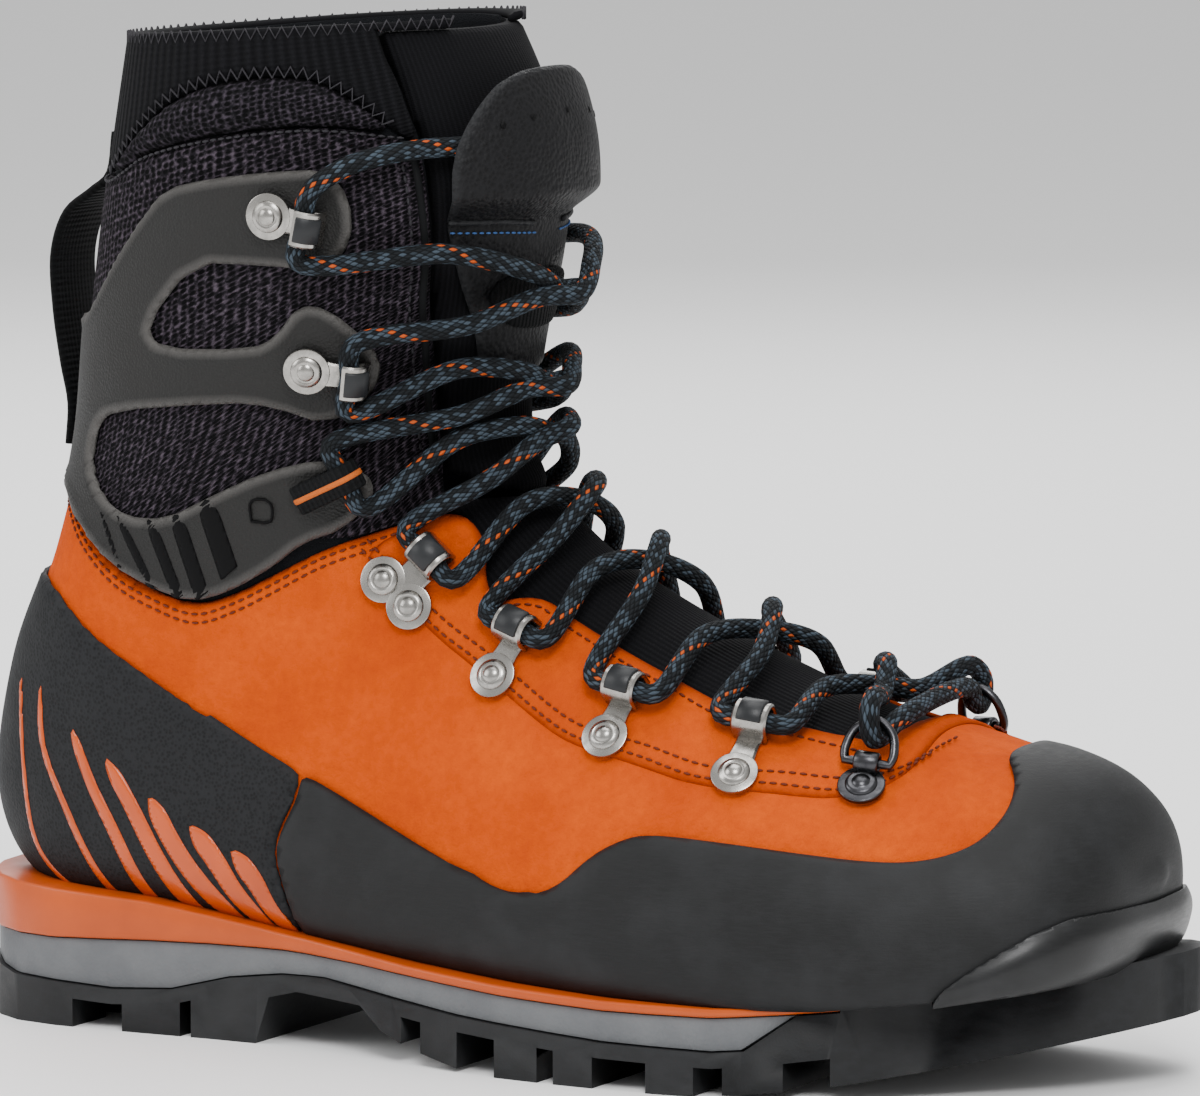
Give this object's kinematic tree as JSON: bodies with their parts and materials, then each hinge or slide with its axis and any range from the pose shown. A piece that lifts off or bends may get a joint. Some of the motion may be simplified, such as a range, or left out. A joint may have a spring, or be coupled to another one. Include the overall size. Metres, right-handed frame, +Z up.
{
  "type": "mountaineering boot",
  "caption": "High lace-up mountaineering boot with a lugged sole, rubber rand, moulded ankle frame, padded collar and tilting tongue.",
  "frame": {"origin": "middle of the heel's tread, on the ground", "axes": "+X towards the toe, +Y towards the foot's inner side, +Z up the shaft"},
  "size_m": [0.3072, 0.1144, 0.2431],
  "materials": {
    "orange_tpu": "satin, smooth moulded",
    "grey_foam": "matte, fine moulded grain",
    "black_rubber": "matte, lightly brushed",
    "fibre_board": "matte",
    "footbed_felt": "brushed felt",
    "orange_suede": "napped suede",
    "mesh_fabric": "spacer mesh over foam",
    "neoprene": "ribbed stretch knit",
    "lining_knit": "soft pile lining",
    "shield_leather": "grained, semi-matte",
    "microfibre": "embossed microfibre",
    "webbing": "woven webbing",
    "frame_tpu": "fine grain, matte",
    "lace_braid": "round braid",
    "satin_nickel": "satin nickel plate",
    "dark_nickel": "dark nickel plate",
    "guide_insert": "satin"
  },
  "bodies": {
    "boot": {"midsole_wedge_orange": "orange_tpu", "shank_plate": "fibre_board", "midsole_grey": "grey_foam", "outsole_lugged": "black_rubber", "lasting_board": "fibre_board", "footbed": "footbed_felt", "suede_upper": "orange_suede", "ankle_fabric": "mesh_fabric", "collar_roll_outer": "mesh_fabric", "collar_roll_inner": "mesh_fabric", "cuff_neoprene": "neoprene", "inner_bootie": "lining_knit", "tongue_gusset": "mesh_fabric", "rubber_rand": "black_rubber", "heel_patch_striped": "microfibre", "toe_bumper": "black_rubber", "rear_pull_loop": "webbing", "ankle_frame": "frame_tpu", "lace": "lace_braid", "loop_toe_outer": "satin_nickel", "loop_toe_pad_outer": "guide_insert", "loop_middle_outer": "satin_nickel", "loop_middle_pad_outer": "guide_insert", "loop_upper_outer": "satin_nickel", "loop_upper_pad_outer": "guide_insert", "lock_guide_outer": "satin_nickel", "lock_guide_pad_outer": "guide_insert", "hook_lower_outer": "satin_nickel", "hook_lower_pad_outer": "guide_insert", "hook_upper_outer": "satin_nickel", "hook_upper_pad_outer": "guide_insert", "ring_clip_outer": "dark_nickel", "web_loop_outer": "webbing", "loop_toe_inner": "satin_nickel", "loop_toe_pad_inner": "guide_insert", "loop_middle_inner": "satin_nickel", "loop_middle_pad_inner": "guide_insert", "loop_upper_inner": "satin_nickel", "loop_upper_pad_inner": "guide_insert", "lock_guide_inner": "satin_nickel", "lock_guide_pad_inner": "guide_insert", "hook_lower_inner": "satin_nickel", "hook_lower_pad_inner": "guide_insert", "hook_upper_inner": "satin_nickel", "hook_upper_pad_inner": "guide_insert", "ring_clip_inner": "dark_nickel", "web_loop_inner": "webbing"},
    "tongue": {"tongue": "neoprene", "tongue_shield": "shield_leather", "tongue_label": "shield_leather"},
    "ring_outer": {"ring_outer": "dark_nickel"},
    "ring_inner": {"ring_inner": "dark_nickel"}
  },
  "joints": [
    {"name": "tongue_tilt", "type": "hinge", "parent": "boot", "child": "tongue", "pos_m": [0.1085, 0, 0.1332], "axis": [0, 1, 0], "range_deg": [0, 14], "stiffness_Nm_per_rad": 0.4, "deforming": ["lace"]},
    {"name": "ring_outer_swing", "type": "hinge", "parent": "boot", "child": "ring_outer", "pos_m": [0.20526, -0.02953, 0.0764], "axis": [0.974, 0.1989, -0.1081], "range_deg": [-15, 100], "deforming": ["lace"]},
    {"name": "ring_inner_swing", "type": "hinge", "parent": "boot", "child": "ring_inner", "pos_m": [0.20464, 0.03694, 0.07659], "axis": [-0.9868, 0.1594, -0.0301], "range_deg": [-15, 100], "deforming": ["lace"]}
  ]
}
